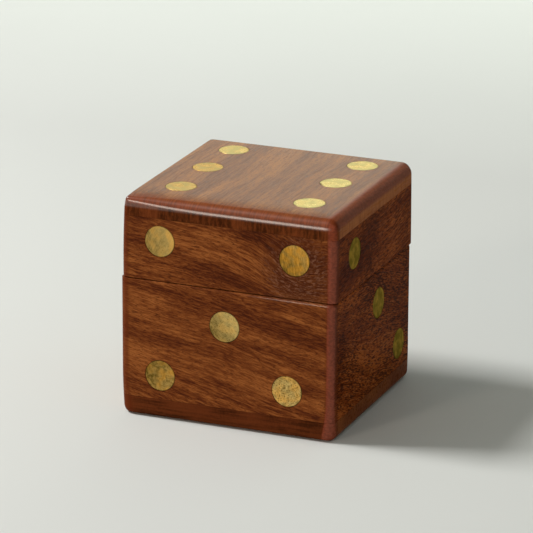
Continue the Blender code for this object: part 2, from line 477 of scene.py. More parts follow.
def recess_points(radius, depth):
    """A plain round plug, standing well out of the face, that is cut away to make the recess of a pip."""
    ring = np.array([0.2, 1, 1, 0.2])[:, None] * radius
    level = np.array([-depth, -depth, depth, depth])[:, None]
    return np.stack((ring * np.cos(ROUND), ring * np.sin(ROUND), level + 0 * ROUND), axis=-1)


# ------------------------------------------------------------------ pieces


def add_object(name, data):
    """A new object in the scene, with this mesh, light or camera."""
    made = bpy.data.objects.new(name, data)
    bpy.context.scene.collection.objects.link(made)
    return made


def add_piece(name, mesh, material, body):
    """An object at the origin, placed by its mesh's own points, which stands for the CAD node of the
    same name."""
    if body == "lid":
        lean_in(mesh)
    mesh.shade_smooth()
    mesh.set_sharp_from_angle(angle=math.radians(SHARP_FROM))
    mesh.materials.clear()
    mesh.materials.append(material)
    piece = add_object(name + "_finished", mesh)
    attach(piece, body)
    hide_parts(name)


def body_of(name):
    """The body that a CAD node rides on."""
    return frame["nodes"][name]["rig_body"]


def face_turn(face):
    """Rotation from the frame of a face to the box: Z out of the face, Y up a wall, X to the right from
    outside."""
    if face == "top":
        return Matrix.Identity(4)
    if face == "bottom":
        return Matrix.Rotation(math.pi, 4, "X")
    upright = Matrix.Rotation(math.radians(90), 4, "X")
    return Matrix.Rotation(math.radians(90) * SIDES.index(face), 4, "Z") @ upright


def lid_shift(body):
    """How far the looks of a body are moved: the loose lid sits a little to the right and to the back."""
    shape = settings("shape")
    return Vector((shape.lid_offset, shape.lid_back, 0)) if body == "lid" else Vector((0, 0, 0))


def pip_matrix(name):
    """Where a pip's face is: the middle of the CAD pip's outer face, on the lid moved with the lid."""
    low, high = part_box(name)
    turn = face_turn(name.split("_")[1])
    outward = turn.to_3x3() @ Vector((0, 0, 1))
    half = Vector([(b - a) / 2 for a, b in zip(low, high)])
    reach = abs(outward.dot(half))
    middle = (low + high) / 2 + outward * reach + lid_shift(body_of(name))
    return Matrix.Translation(middle) @ turn


def pip_size(name):
    """Radius and thickness of a CAD pip."""
    low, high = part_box(name)
    sizes = sorted(high - low)
    return sizes[2] / 2, sizes[0]


def pips_of(board):
    """Names of the pips let into a board."""
    face = {"lid_top_panel": "top", "base_bottom_panel": "bottom"}.get(board) or board.split("_")[1]
    names = [f"pip_{face}_{number}" for number in range(1, FACES[face] + 1)]
    return [name for name in names if body_of(name) == body_of(board)]


def cut_recesses(mesh, board):
    """Cuts the recess of each of the board's pips from its mesh."""
    holder = add_object("uncut_board", mesh)
    gap = settings("shape").recess_gap
    plugs = []
    for name in pips_of(board):
        radius, depth = pip_size(name)
        plug_mesh = grid_mesh("plug", recess_points(radius + gap, depth + gap))
        plug_mesh.transform(pip_matrix(name))
        plug = add_object("plug", plug_mesh)
        cut = holder.modifiers.new("Recess", "BOOLEAN")
        cut.operation = "DIFFERENCE"
        cut.solver = "EXACT"
        cut.object = plug
        plugs.append(plug)
    graph = bpy.context.evaluated_depsgraph_get()
    finished = bpy.data.meshes.new_from_object(holder.evaluated_get(graph))
    for helper in [holder, *plugs]:
        bpy.data.objects.remove(helper)
    return finished


# ------------------------------------------------------------------ materials


class Finish:
    """A material's node tree, with short calls for the nodes that the finishes share."""

    def __init__(self, name):
        self.material = bpy.data.materials.new(name)
        self.material.use_nodes = True
        self.tree = self.material.node_tree
        self.shader = self.tree.nodes["Principled BSDF"]

    def node(self, kind, inputs=(), **values):
        """A node of this kind: the values are its own settings, and the inputs feed its sockets by name or
        number, with a plain value or with another node's socket."""
        made = self.tree.nodes.new("ShaderNode" + kind)
        for key, value in values.items():
            setattr(made, key, value)
        for key, value in dict(inputs).items():
            self.feed(made.inputs[key], value)
        return made

    def feed(self, socket, value):
        if isinstance(value, bpy.types.NodeSocket):
            self.tree.links.new(value, socket)
        elif hasattr(value, "__len__") and len(value) == 3 and socket.type == "RGBA":
            socket.default_value = (*value, 1.0)
        else:
            socket.default_value = value

    def math(self, operation, *values, clamp=False):
        return self.node("Math", enumerate(values), operation=operation, use_clamp=clamp).outputs[0]

    def vector(self, operation, *values):
        return self.node("VectorMath", enumerate(values), operation=operation).outputs[0]

    def times(self, first, second, clamp=False):
        return self.math("MULTIPLY", first, second, clamp=clamp)

    def plus(self, first, second):
        return self.math("ADD", first, second)

    def minus(self, first, second):
        return self.math("SUBTRACT", first, second)

    def line(self, value, slope, start, clamp=False):
        """value times slope plus start."""
        return self.math("MULTIPLY_ADD", value, slope, start, clamp=clamp)

    def scaled(self, place, factors):
        return self.vector("MULTIPLY", place, factors)

    def apart(self, place):
        """The X, Y and Z of a place."""
        return self.node("SeparateXYZ", {"Vector": place}).outputs

    def dot(self, first, second):
        return self.node("VectorMath", {0: first, 1: second}, operation="DOT_PRODUCT").outputs["Value"]

    def noise(self, place, factors=None, detail=2.0, roughness=0.5, scale=1.0):
        """Noise from 0 to 1 over a place, whose axes are scaled by the factors first."""
        if factors:
            place = self.scaled(place, factors)
        inputs = {"Vector": place, "Scale": scale, "Detail": detail, "Roughness": roughness}
        return self.node("TexNoise", inputs).outputs["Fac"]

    def sway(self, place, factors):
        """Slow noise as a vector, from -0.5 to 0.5 along each axis."""
        made = self.node("TexNoise", {"Vector": self.scaled(place, factors), "Scale": 1.0, "Detail": 1.0})
        return self.vector("SUBTRACT", made.outputs["Color"], (0.5, 0.5, 0.5))

    def cells(self, place, factors):
        """Distance to the nearest of many scattered points."""
        inputs = {"Vector": self.scaled(place, factors), "Scale": 1.0, "Randomness": 1.0}
        return self.node("TexVoronoi", inputs).outputs["Distance"]

    def span(self, value, low, high, to_low=0.0, to_high=1.0):
        """value mapped smoothly from low..high to to_low..to_high."""
        inputs = enumerate((value, low, high, to_low, to_high))
        return self.node("MapRange", inputs, interpolation_type="SMOOTHSTEP").outputs["Result"]

    def mix(self, factor, first, second, blend="MIX"):
        """Two colours mixed, on the colour sockets of the Mix node."""
        made = self.node("Mix", {"Factor": factor, 6: first, 7: second}, data_type="RGBA", blend_type=blend)
        return made.outputs[2]

    def ramp(self, value, stops):
        """Colours along value: stops are (place, colour)."""
        made = self.node("ValToRGB", {"Fac": value})
        elements = made.color_ramp.elements
        while len(elements) < len(stops):
            elements.new(0.5)
        for element, (place, tone) in zip(elements, stops):
            element.position = place
            element.color = (*tone, 1.0)
        return made.outputs["Color"]

    def object_place(self):
        return self.node("TexCoord").outputs["Object"]

    def put(self, name, value):
        """Feeds the shader's own socket of this name."""
        self.feed(self.shader.inputs[name], value)

    def bump(self, height):
        made = self.node("Bump", {"Height": height, "Distance": 0.02 * MM, "Strength": 0.5})
        self.put("Normal", made.outputs["Normal"])


def own_place(finish, middle, turn):
    """Millimetres from the middle of a piece, in the piece's own turned frame."""
    inputs = {"Vector": finish.object_place(), "Location": middle, "Rotation": turn, "Scale": (MM, MM, MM)}
    return finish.node("Mapping", inputs, vector_type="TEXTURE").outputs["Vector"]


def patch(finish, place, along, across, long, wide):
    """A soft oval at a spot of the board: 1 in its middle, falling to 0 like a bell."""
    away = finish.vector("SUBTRACT", place, (along, 0.0, across))
    away = finish.scaled(away, (1 / long, 0.0, 1 / wide))
    return finish.math("EXPONENT", finish.times(finish.dot(away, away), -1.0))


def past_flats(finish):
    """How far, in millimetres, the point lies past the flat part of the right face, the front face and
    either face across X and Y, past the flat of the top, and past the seam. The upright edges' rounding
    is followed as it widens to the foot."""
    shape = settings("shape")
    half_x, half_y, height = outer_size()
    across, deep, up = finish.apart(finish.object_place())
    foot = finish.times(
        finish.math("POWER", finish.line(up, -1 / shape.foot_height, 1.0, clamp=True), 2.0),
        shape.foot_radius - shape.corner_radius,
    )
    radius = finish.line(foot, 1 / MM, shape.corner_radius / MM)

    def either(beyond, half):
        """The same distance for a face and for the one opposite, from the first one's distance."""
        return finish.minus(finish.math("ABSOLUTE", finish.plus(beyond, half / MM)), half / MM)

    right = finish.line(across, 1 / MM, -half_x / MM)
    front = finish.line(deep, -1 / MM, -half_y / MM)
    return {
        "right": finish.plus(right, radius),
        "front": finish.plus(front, radius),
        "X": finish.plus(either(right, half_x), radius),
        "Y": finish.plus(either(front, half_y), radius),
        "top": finish.line(up, 1 / MM, -height / MM),
        "seam": finish.line(up, 1 / MM, -joint_levels()[1] / MM),
    }


def add_sanded_edges(finish, tint, place, amount, top):
    """Tints the rounded edges: the upright ones are a little darker and redder, and the one at the
    front right has a pinkish crest, partly sanded wear and partly a painted highlight. On the top
    panel, the front edge is redder, and so is the broad rounding on the right. The spans are in
    millimetres past the flats."""
    wood, shape = settings("wood"), settings("shape")
    past = past_flats(finish)
    fleck = finish.noise(place, (0.9, 0.9, 1.6), 3.0, 0.65)
    wander = finish.line(fleck, 0.7, -0.35)
    spotted = finish.span(fleck, 0.35, 0.65)
    crest = finish.mix(spotted, Vector(wood.edge) * 0.75, Vector(wood.edge) * 1.15)
    if top:
        upright = finish.plus(past["right"], shape.top_side_width / MM - shape.corner_radius / MM)
        upright = finish.plus(upright, wander)
        rust = finish.mix(spotted, Vector(wood.edge) * 0.65, Vector(wood.edge) * 0.95)
        below = finish.plus(past["top"], wander)
        cover = finish.span(upright, -0.6, 1.4, 0.0, 0.85 * amount)
        tint = finish.mix(finish.times(cover, finish.span(below, -4.0, -2.4)), tint, rust)
        front = finish.plus(past["front"], wander)
        front = finish.times(finish.span(front, -5.0, 1.2), finish.span(past["top"], -3.0, -1.8))
        ends = finish.noise(place, (0.12, 1.8, 0.2), 3.0, 0.65)
        red = finish.mix(finish.span(ends, 0.36, 0.64), Vector(wood.roll) * 0.62, Vector(wood.roll) * 1.12)
        tint = finish.mix(finish.times(front, 0.85 * amount), tint, red)
    side = finish.math("MINIMUM", past["X"], past["Y"])
    side = finish.plus(side, wander)
    tint = finish.mix(finish.span(side, -1.2, 0.4, 0.0, 0.7 * amount), tint, wood.edge_side)
    # The front right upright edge gets a pinkish crest: partly sanded wear, partly a painted highlight.
    worn_and_highlight = finish.math("MINIMUM", finish.plus(past["right"], 0.5), finish.plus(past["front"], -0.8))
    worn_and_highlight = finish.plus(worn_and_highlight, wander)
    return finish.mix(finish.span(worn_and_highlight, 0.1, 0.8, 0.0, 0.9 * amount), tint, crest)


def add_lacquer(finish, top, weight):
    """A gloss coat that lies thickest on the worn front right edge and along the right half of the
    base's edge at the seam. On the top panel it covers the top as well, and thins out over the broad
    rounding on the right. The spans are in millimetres past the flats."""
    shape = settings("shape")
    past = past_flats(finish)
    if top:
        start = (shape.corner_radius - shape.top_side_width) / MM
        side = finish.span(past["right"], start, start + 2.5, 1.0, 0.08)
        high = finish.span(past["top"], -4.0, -3.2)
        crest = finish.span(past["front"], -0.2, 1.0, weight, 1.0)
        film = finish.times(finish.times(side, high), crest)
    else:
        film = finish.span(finish.math("MINIMUM", past["right"], past["front"]), 0.0, 1.0, 0.0, weight)
        below, above = finish.span(past["seam"], -1.2, -0.7), finish.span(past["seam"], 0.1, 0.3, 1.0, 0.0)
        along = finish.span(past["right"], -32.0, -12.0, 0.0, 0.45)
        along = finish.times(along, finish.span(past["right"], 0.8, 1.8, 1.0, 0.0))
        film = finish.math("MAXIMUM", film, finish.times(finish.times(below, above), along))
    finish.put("Coat Weight", film)
    finish.put("Coat Roughness", 0.23)
    finish.put("Coat IOR", 1.62)


def add_end_grain(finish, tint, place, top):
    """Darkens the front and back strips of a panel, where the ends of the fibres show as short upright
    streaks, and makes the sides of the top panel paler and scratched."""
    wood = settings("wood")
    half_x, half_y, _ = outer_size()
    x, y, _ = finish.apart(finish.object_place())
    past = finish.minus(finish.math("ABSOLUTE", y), half_y)
    end = finish.span(past, -1.6 * MM, -0.5 * MM)
    size = (0.09, 1.2, 0.22) if top else (0.05, 0.3, 0.9)
    streaks = finish.noise(place, size, 4.0, 0.7)
    streaks = finish.span(streaks, 0.36, 0.64)
    grit = finish.noise(place, (1.3, 1.3, 0.8), 3.0, 0.7)
    streaks = finish.line(finish.minus(grit, 0.5), 1.6, streaks)
    blots = finish.noise(place, (0.05, 0.12, 0.12), 2.0)
    blots = finish.span(blots, 0.36, 0.64)
    spread = finish.line(blots, -0.4, 0.65)
    tone = finish.times(finish.minus(streaks, 0.5), spread)
    tone = finish.plus(tone, finish.line(blots, 0.4, -0.2))
    pale_end = Vector(wood.end) * (2.0 if top else 1.5)
    stops = ((0.0, Vector(wood.end) * 0.4), (0.5, wood.end), (1.0, pale_end))
    ends = finish.ramp(finish.plus(tone, 0.5), stops)
    tint = finish.mix(finish.times(end, 0.95), tint, ends)
    if top:
        beyond = finish.minus(finish.math("ABSOLUTE", x), half_x)
        side = finish.span(beyond, -1.8 * MM, -0.4 * MM, 0.0, 0.8)
        scratch = finish.noise(place, (1.4, 1.4, 0.2), 2.0)
        scratch = finish.span(scratch, 0.25, 0.75)
        pale = finish.mix(scratch, Vector(wood.middle) * 1.3, Vector(wood.light) * 1.2)
        tint = finish.mix(side, tint, pale)
    return tint


def wood_finish(
    name, middle, turn, seed=0.0, tone=0.0, shade=(1.0, 1.0, 1.0),
    bands=0.26, streaks=0.24, fibres=0.34, warp=7.0, figure=(), knots=(), marks=(),
    dashes=0.0, flecks=0.6, pores=0.5, panel=None, edges=1.0, gloss=0.26, specular=0.03, coat=0.22,
):
    """Polished hardwood with long grain.

    The grain runs along X of the turned frame, bent by slow noise and pushed aside round each knot. The
    tone is the sum of slow bands, streaks and fibres, which are noise stretched along the grain at
    three widths, and of the figure: soft light or dark ovals at given places, in millimetres along and
    across the grain, with their half lengths, half widths and strengths. Dark dashes, flecks and pores
    and pale glints lie over it.
    """
    wood = settings("wood")
    finish = Finish(name)
    place = own_place(finish, middle, turn)
    moved = finish.vector("ADD", place, (seed * 37.0, seed * 11.0, seed * 23.0))
    slow = finish.sway(moved, (0.018, 0.03, 0.03))
    quick = finish.sway(moved, (0.14, 0.2, 0.2))
    bent = finish.vector("ADD", moved, finish.scaled(slow, (0.0, warp, warp)))
    bent = finish.vector("ADD", bent, finish.scaled(quick, (0.0, 0.8, 0.8)))

    speckle = None
    for along, across, size, push in knots:
        swell = patch(finish, place, along, across, size, size)
        lift = finish.node("CombineXYZ", {"Z": finish.times(swell, push)}).outputs[0]
        bent = finish.vector("ADD", bent, lift)
        speckle = swell

    band = finish.span(finish.noise(bent, (0.012, 0.13, 0.13), 1.0), 0.36, 0.64)
    streak = finish.noise(bent, (0.06, 0.9, 0.9), 3.0, 0.6)
    streak = finish.span(streak, 0.34, 0.66)
    fibre = finish.noise(bent, (0.3, 3.0, 3.0), 2.0, 0.6)
    fibre = finish.span(fibre, 0.3, 0.7)
    body = 0.5 + tone - (bands + streaks + fibres) / 2
    for layer, weight in ((band, bands), (streak, streaks), (fibre, fibres)):
        body = finish.line(layer, weight, body)
    ragged = finish.vector("ADD", place, finish.scaled(quick, (0.0, 0.0, 3.0)))
    for *oval, strength in figure:
        soft = finish.times(patch(finish, ragged, *oval), finish.line(streak, 0.9, 0.55))
        body = finish.line(soft, strength, body)
    stops = ((0.0, Vector(wood.dark) * 0.6), (0.2, wood.dark), (0.5, wood.middle), (0.9, wood.light))
    tint = finish.ramp(body, stops)

    if speckle is not None:
        dots = finish.noise(bent, (0.6, 1.8, 1.8), 3.0, 0.7)
        dots = finish.span(dots, 0.46, 0.66)
        mottled = finish.mix(dots, Vector(wood.dark) * 0.75, wood.knot)
        tint = finish.mix(finish.span(speckle, 0.2, 0.75, 0.0, 0.68), tint, mottled)
    for oval in marks:
        spot = finish.span(patch(finish, place, *oval), 0.3, 0.6, 0.0, 0.85)
        tint = finish.mix(spot, tint, wood.pore)
    if dashes:
        dash = finish.noise(bent, (0.4, 2.6, 2.6), 2.0, 0.5)
        crowd = finish.noise(moved, (0.05, 0.07, 0.07), 1.0)
        limit = finish.span(crowd, 0.35, 0.65, 0.5, 0.58)
        dash = finish.minus(1.0, finish.span(dash, finish.minus(limit, 0.1), limit))
        tint = finish.mix(finish.times(dash, dashes), tint, wood.pore)
    fleck = finish.noise(bent, (0.6, 2.6, 2.6), 2.0, 0.6)
    fleck = finish.span(fleck, 0.56, 0.66, 0.0, flecks)
    tint = finish.mix(fleck, tint, Vector(wood.dark) * 0.6)
    glint = finish.noise(bent, (0.35, 2.1, 2.1), 2.0, 0.6)
    glint = finish.times(finish.span(glint, 0.58, 0.7, 0.0, flecks * 0.8), band)
    tint = finish.mix(glint, tint, Vector(wood.light) * 1.15)
    cells = finish.cells(bent, (0.42, 2.3, 2.3))
    crowd = finish.noise(bent, (0.03, 0.3, 0.3), 2.0)
    reach = finish.line(crowd, 0.5 * pores, 0.12 * pores)
    pore = finish.minus(1.0, finish.span(cells, finish.times(reach, 0.5), reach))
    tint = finish.mix(finish.times(pore, 0.7, clamp=True), tint, wood.pore)
    tint = finish.mix(1.0, tint, shade, blend="MULTIPLY")
    if panel:
        tint = add_end_grain(finish, tint, place, panel == "top")
    if edges:
        tint = add_sanded_edges(finish, tint, place, edges, panel == "top")

    finish.put("Base Color", tint)
    rough = finish.line(pore, 0.2, gloss)
    rough = finish.line(finish.minus(streak, 0.5), 0.08, rough)
    finish.put("Roughness", rough)
    finish.put("Specular IOR Level", specular)
    height = finish.line(pore, -1.0, finish.times(fibre, 0.35))
    finish.bump(height)
    if coat:
        add_lacquer(finish, panel == "top", coat)
    return finish.material


def brass_finish(
    name, matrix, seed, warm=0.3, dull_and_shade=0.1, mottle=0.3, brush=0.3, pits=0.3, satin=1.0,
    grazing=(1.0, 0.96, 0.8), fade=(0, 0.0),
):
    """Brass sanded flush with the wood. A film of tarnish lies over it, thicker in clouds, in the
    scratches, in small pits and towards one side, which fade gives as an angle in degrees and an
    amount. On the pips of the right face the film is thick, partly as painted shade."""
    brass = settings("brass")
    finish = Finish(name)
    turn = (matrix.to_3x3() @ Matrix.Rotation(seed, 3, "Z")).to_euler()
    middle = own_place(finish, matrix.translation, turn)
    place = finish.vector("ADD", middle, (seed * 13.0, seed * 7.0, 0.0))
    cloud = finish.span(finish.noise(place, (0.28, 0.28, 0.28), 2.0), 0.35, 0.65)
    scratch = finish.noise(place, (0.35, 3.2, 1.0), 4.0, 0.7)
    scratch = finish.span(scratch, 0.34, 0.66)
    grit = finish.span(finish.noise(place, detail=3.0, roughness=0.65, scale=0.8), 0.36, 0.62)
    pit = finish.span(finish.noise(place, detail=2.0, roughness=0.6, scale=2.0), 0.34, 0.42)
    tint = finish.mix(finish.line(cloud, 0.5, warm - 0.2, clamp=True), brass.pale, brass.warm)
    film = finish.line(finish.minus(1.0, grit), mottle, dull_and_shade)
    film = finish.line(finish.minus(1.0, scratch), brush, film)
    film = finish.line(finish.minus(0.5, cloud), 0.3, film)
    degrees, amount = fade
    toward = math.radians(degrees) - seed
    way = (math.cos(toward), math.sin(toward), 0.0)
    side = finish.dot(middle, way)
    film = finish.line(side, amount / 5.0, film)
    film = finish.line(finish.minus(1.0, pit), pits, film, clamp=True)
    tint = finish.mix(film, tint, brass.tarnish)
    # Darkens the outer rim of the face: partly tarnish, partly painted shade of the dark gap round the pip.
    from_middle = finish.node("VectorMath", {0: middle}, operation="LENGTH").outputs["Value"]
    tint = finish.mix(finish.span(from_middle, 4.9, 5.3, 0.0, 0.5), tint, Vector(brass.tarnish) * 0.5)
    finish.put("Base Color", tint)
    finish.put("Metallic", 1.0)
    finish.put("Specular Tint", grazing)
    rough = finish.line(film, 0.2, brass.roughness * satin)
    finish.put("Roughness", rough)
    finish.bump(finish.plus(finish.times(scratch, 0.6), grit))
    return finish.material


# ------------------------------------------------------------------ operators


def upright_turn(side, tilt):
    """Grain along a wall, falling to the right as seen from outside by tilt degrees."""
    return Euler((0, math.radians(tilt), math.radians(90) * SIDES.index(side)))


# Figure: along, across, half length, half width, strength; knots: along, across, size, push; marks: as
# figure, without a strength. All but the strengths are millimetres from the middle of the wall.
RIGHT_WALL = dict(streaks=0.16, specular=0.003, shade=(1.1, 0.87, 0.66))
WALL_FINISHES = {
    "lid_front_wall": dict(
        tilt=9, seed=1.3, streaks=0.34, bands=0.2, fibres=0.37, flecks=0.65,
        knots=((25, 2, 13.0, 6.0),), marks=((35.6, 8.3, 0.9, 0.5),),
        figure=(
            (-3, 4, 15, 4, 0.16), (-6, -8, 14, 3.5, -0.2), (-31, -8, 5, 4, 0.12), (9, 9, 8, 2, -0.25),
            (-33, 4, 4, 6, -0.12),
        ),
    ),
    "lid_right_wall": dict(
        RIGHT_WALL, tilt=-4, seed=2.1, tone=0.06, dashes=0.75,
        figure=((-24, 3, 14, 9, -0.3), (-6, 6, 8, 5, -0.15)),
    ),
    "lid_back_wall": dict(tilt=5, seed=3.2),
    "lid_left_wall": dict(tilt=-6, seed=4.4, dashes=0.3),
    "base_front_wall": dict(
        tilt=12, seed=5.6, tone=0.02, bands=0.34, streaks=0.19, fibres=0.4, flecks=0.6,
        figure=(
            (0, -22, 60, 13, 0.12), (20, 8, 20, 9, 0.06), (22, 19.3, 13, 1.8, 0.3), (4, 20, 5, 2, 0.25),
            (-30, 9.4, 9, 2.5, 0.2), (-20, -0.4, 16, 2, 0.2), (17, 1.3, 12, 2.5, 0.2), (18, 12, 15, 4, -0.12),
            (-19, 4.9, 16, 1.8, -0.2), (29, -4, 6, 3, -0.2), (-8, -13, 26, 3, 0.12),
        ),
    ),
    "base_right_wall": dict(
        RIGHT_WALL, tilt=12, seed=6.1, tone=0.13, dashes=0.85, warp=12.0,
        figure=((4, 6, 14, 8, 0.14), (-30, 0, 4, 22, -0.2), (4, -17, 45, 9, 0.2)),
    ),
    "base_back_wall": dict(tilt=7, seed=7.5),
    "base_left_wall": dict(tilt=-3, seed=8.8, dashes=0.4),
}


def make_panel(name, body, joint, face, turn, **looks):
    """A panel from its joint to its outer face, with its recesses for pips."""
    half_x, half_y, _ = outer_size()
    mesh = grid_mesh(name, panel_points(half_x, half_y, joint, face, body == "lid"))
    mesh.transform(Matrix.Translation(lid_shift(body)))
    wood = wood_finish(name, (0, 0, face), Euler((0, 0, math.radians(turn))), gloss=0.3, **looks)
    add_piece(name, cut_recesses(mesh, name), wood, body)


def make_walls(body):
    """The four walls of the base or of the lid, with their recesses for pips. The edge at the seam is
    rounded more on the right than on the left."""
    half_x, half_y, _ = outer_size()
    floor, rim, lid_edge, ceiling = joint_levels()
    shape = settings("shape")
    half_gap = shape.joint_gap / 2
    if body == "base":
        low, high, low_ease = floor + half_gap, rim, shape.joint_ease
        small, large = shape.rim_ease, shape.rim_roll
    else:
        low, high, low_ease = lid_edge, ceiling - half_gap, shape.rim_ease
        small = large = shape.joint_ease
    eases = {"front": (small, large), "right": (large, large), "back": (large, small), "left": (small, small)}
    low_y, high_y = (corner.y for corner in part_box(f"{body}_front_wall"))
    for side in SIDES:
        name = f"{body}_{side}_wall"
        half = half_length(side, half_x, half_y)
        mesh = grid_mesh(name, wall_points(side, half, high_y - low_y, low, high, low_ease, eases[side]))
        matrix = Matrix.Translation(lid_shift(body)) @ side_matrix(side, half_x, half_y)
        mesh.transform(matrix)
        looks = dict(WALL_FINISHES[name])
        turn = upright_turn(side, looks.pop("tilt"))
        middle = matrix @ Vector((0, 0, (low + high) / 2))
        wood = wood_finish(name, middle, turn, gloss=settings("wood").roughness, **looks)
        add_piece(name, cut_recesses(mesh, name), wood, body)


class DICEBOX_OT_base_walls(Operator):
    """Make the four mitred walls of the base"""

    bl_idname = "dice_box.base_walls"
    bl_label = "Base walls"

    def execute(self, context):
        make_walls("base")
        return {"FINISHED"}


class DICEBOX_OT_lid_walls(Operator):
    """Make the four mitred walls of the lid"""

    bl_idname = "dice_box.lid_walls"
    bl_label = "Lid walls"

    def execute(self, context):
        make_walls("lid")
        return {"FINISHED"}


class DICEBOX_OT_lid_panel(Operator):
    """Make the panel over the lid, with its grain from front to back"""

    bl_idname = "dice_box.lid_panel"
    bl_label = "Lid panel"

    def execute(self, context):
        joint = joint_levels()[3] + settings("shape").joint_gap / 2
        # Its tone and shade lift the top panel's colour, most in green: partly a painted reflection of the
        # pale greenish backdrop that lights the top.
        make_panel(
            "lid_top_panel", "lid", joint, outer_size()[2], 90 - 2, seed=9.4, tone=0.08, bands=0.2,
            streaks=0.22, fibres=0.2, pores=0.45, specular=0.008, coat=0.43, panel="top",
            shade=(1.18, 1.36, 0.95), warp=5.0,
        )
        return {"FINISHED"}


class DICEBOX_OT_base_panel(Operator):
    """Make the panel under the base"""

    bl_idname = "dice_box.base_panel"
    bl_label = "Base panel"

    def execute(self, context):
        joint = joint_levels()[0] - settings("shape").joint_gap / 2
        make_panel(
            "base_bottom_panel", "base", joint, 0.0, 2, seed=10.7, bands=0.15, streaks=0.15, fibres=0.1,
            pores=0.05, flecks=0.1, specular=0.01, panel="bottom",
        )
        return {"FINISHED"}


class DICEBOX_OT_liner(Operator):
    """Make the four liner strips that the lid drops over"""

    bl_idname = "dice_box.liner"
    bl_label = "Liner"

    def execute(self, context):
        half_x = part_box("liner_right")[1].x
        front_low, front_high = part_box("liner_front")
        half_y = -front_low.y
        thickness = front_high.y - front_low.y
        for number, side in enumerate(SIDES):
            name = f"liner_{side}"
            half = half_length(side, half_x, half_y)
            mesh = grid_mesh(name, strip_points(half, thickness, front_low.z, front_high.z, 0.7 * MM))
            matrix = side_matrix(side, half_x, half_y)
            mesh.transform(matrix)
            wood = liner_finish(name, matrix @ Vector((0, 0, 30 * MM)), upright_turn(side, 2), number)
            add_piece(name, mesh, wood, "base")
        return {"FINISHED"}


def liner_finish(name, middle, turn, number):
    """Sanded, unpolished strip: the same wood, paler and drier."""
    return wood_finish(
        name, middle, turn, seed=12.0 + number, tone=0.3, bands=0.15, streaks=0.2, fibres=0.2, pores=0.4,
        edges=0.0, gloss=0.6, specular=0.2, coat=0.0,
    )


# Fade: the side that is duller, in degrees counter-clockwise from the right, and by how much.
TOP_PIP = dict(dull_and_shade=0.0, pits=0.05, satin=0.65)
PIP_LOOKS = {
    "pip_top_1": dict(TOP_PIP, warm=0.6, mottle=0.08, brush=0.12),
    "pip_top_2": dict(TOP_PIP, warm=0.7, mottle=0.1, brush=0.12),
    "pip_top_3": dict(TOP_PIP, warm=0.3, mottle=0.08, brush=0.1),
    "pip_top_4": dict(TOP_PIP, warm=0.0, mottle=0.04, brush=0.06),
    "pip_top_5": dict(TOP_PIP, warm=0.0, mottle=0.05, brush=0.08),
    "pip_top_6": dict(TOP_PIP, warm=0.15, mottle=0.08, brush=0.1),
    "pip_front_1": dict(warm=0.35, dull_and_shade=0.42, mottle=0.06, brush=0.15, pits=0.1, fade=(200, 0.15)),
    "pip_front_2": dict(warm=0.85, dull_and_shade=0.25, mottle=0.12, brush=0.42, pits=0.1, fade=(225, 0.22)),
    "pip_front_3": dict(warm=0.2, dull_and_shade=0.4, mottle=0.1, brush=0.14, pits=0.4, fade=(215, 0.25)),
    "pip_front_4": dict(warm=0.6, dull_and_shade=0.46, mottle=0.25, brush=0.12, pits=0.1, fade=(150, 0.15)),
    "pip_front_5": dict(warm=0.4, dull_and_shade=0.04, mottle=0.38, brush=0.2, pits=1.0),
}
SIDE_PIP_LOOKS = {
    # The right face's pips are dulled most: partly tarnish, partly painted shade.
    "right": dict(warm=0.55, dull_and_shade=0.74, mottle=0.1, brush=0.2, pits=0.1, grazing=(1.0, 0.92, 0.5)),
    "left": dict(warm=0.4, dull_and_shade=0.2, mottle=0.2, brush=0.3, pits=0.2),
    "back": dict(warm=0.3, dull_and_shade=0.2, mottle=0.2, brush=0.3, pits=0.3),
    "bottom": dict(warm=0.6, dull_and_shade=0.3, mottle=0.4, brush=0.3, pits=0.4),
}


class DICEBOX_OT_pips(Operator):
    """Make the brass pips"""

    bl_idname = "dice_box.pips"
    bl_label = "Brass pips"

    def execute(self, context):
        seed = 0
        for face, count in FACES.items():
            for number in range(1, count + 1):
                seed += 1
                name = f"pip_{face}_{number}"
                radius, depth = pip_size(name)
                notch = (math.radians(215), 0.09) if name == "pip_top_5" else None
                matrix = pip_matrix(name)
                mesh = grid_mesh(name, pip_points(radius, depth, seed, notch))
                mesh.transform(matrix)
                looks = PIP_LOOKS.get(name) or SIDE_PIP_LOOKS[face]
                brass = brass_finish(name, matrix, seed * 0.61, **looks)
                add_piece(name, mesh, brass, body_of(name))
        return {"FINISHED"}


def area_light(name, place, aim, width, height, power, tone=(1.0, 1.0, 1.0)):
    """A rectangular light at a place, turned to its aim."""
    light = bpy.data.lights.new(name, "AREA")
    light.shape = "RECTANGLE"
    light.size = width
    light.size_y = height
    light.energy = power
    light.color = tone
    lamp = add_object(name, light)
    lamp.location = place
    lamp.rotation_euler = (Vector(aim) - Vector(place)).to_track_quat("-Z", "Y").to_euler()


def direction(azimuth, elevation):
    """Unit vector out from the box: the azimuth, in radians, is counted from the front to the right."""
    level = math.cos(elevation)
    return Vector((math.sin(azimuth) * level, -math.cos(azimuth) * level, math.sin(elevation)))


def sweep_mesh():
    """Seamless backdrop: a flat floor that curves up through a quarter round into a wall behind."""
    half_width, floor_front, floor_back, bend, wall_top = 3.5, -3.0, 1.1, 0.5, 0.85
    turn = np.linspace(0, math.pi / 2, 17)
    flat = (floor_front, -1.0, 0.0, 0.6)
    y = np.concatenate((flat, floor_back + bend * np.sin(turn), [floor_back + bend]))
    z = np.concatenate((np.zeros(len(flat)), bend * (1 - np.cos(turn)), [wall_top]))
    x = np.linspace(-half_width, half_width, 15)
    points = np.stack(np.broadcast_arrays(x[None, :], y[:, None], z[:, None]), axis=-1)
    index = point_numbers(points)
    quads = np.stack((index[:-1, :-1], index[:-1, 1:], index[1:, 1:], index[1:, :-1]), axis=-1)
    mesh = bpy.data.meshes.new("studio_sweep")
    mesh.from_pydata(points.reshape(-1, 3).tolist(), [], quads.reshape(-1, 4).tolist())
    mesh.shade_smooth()
    return mesh


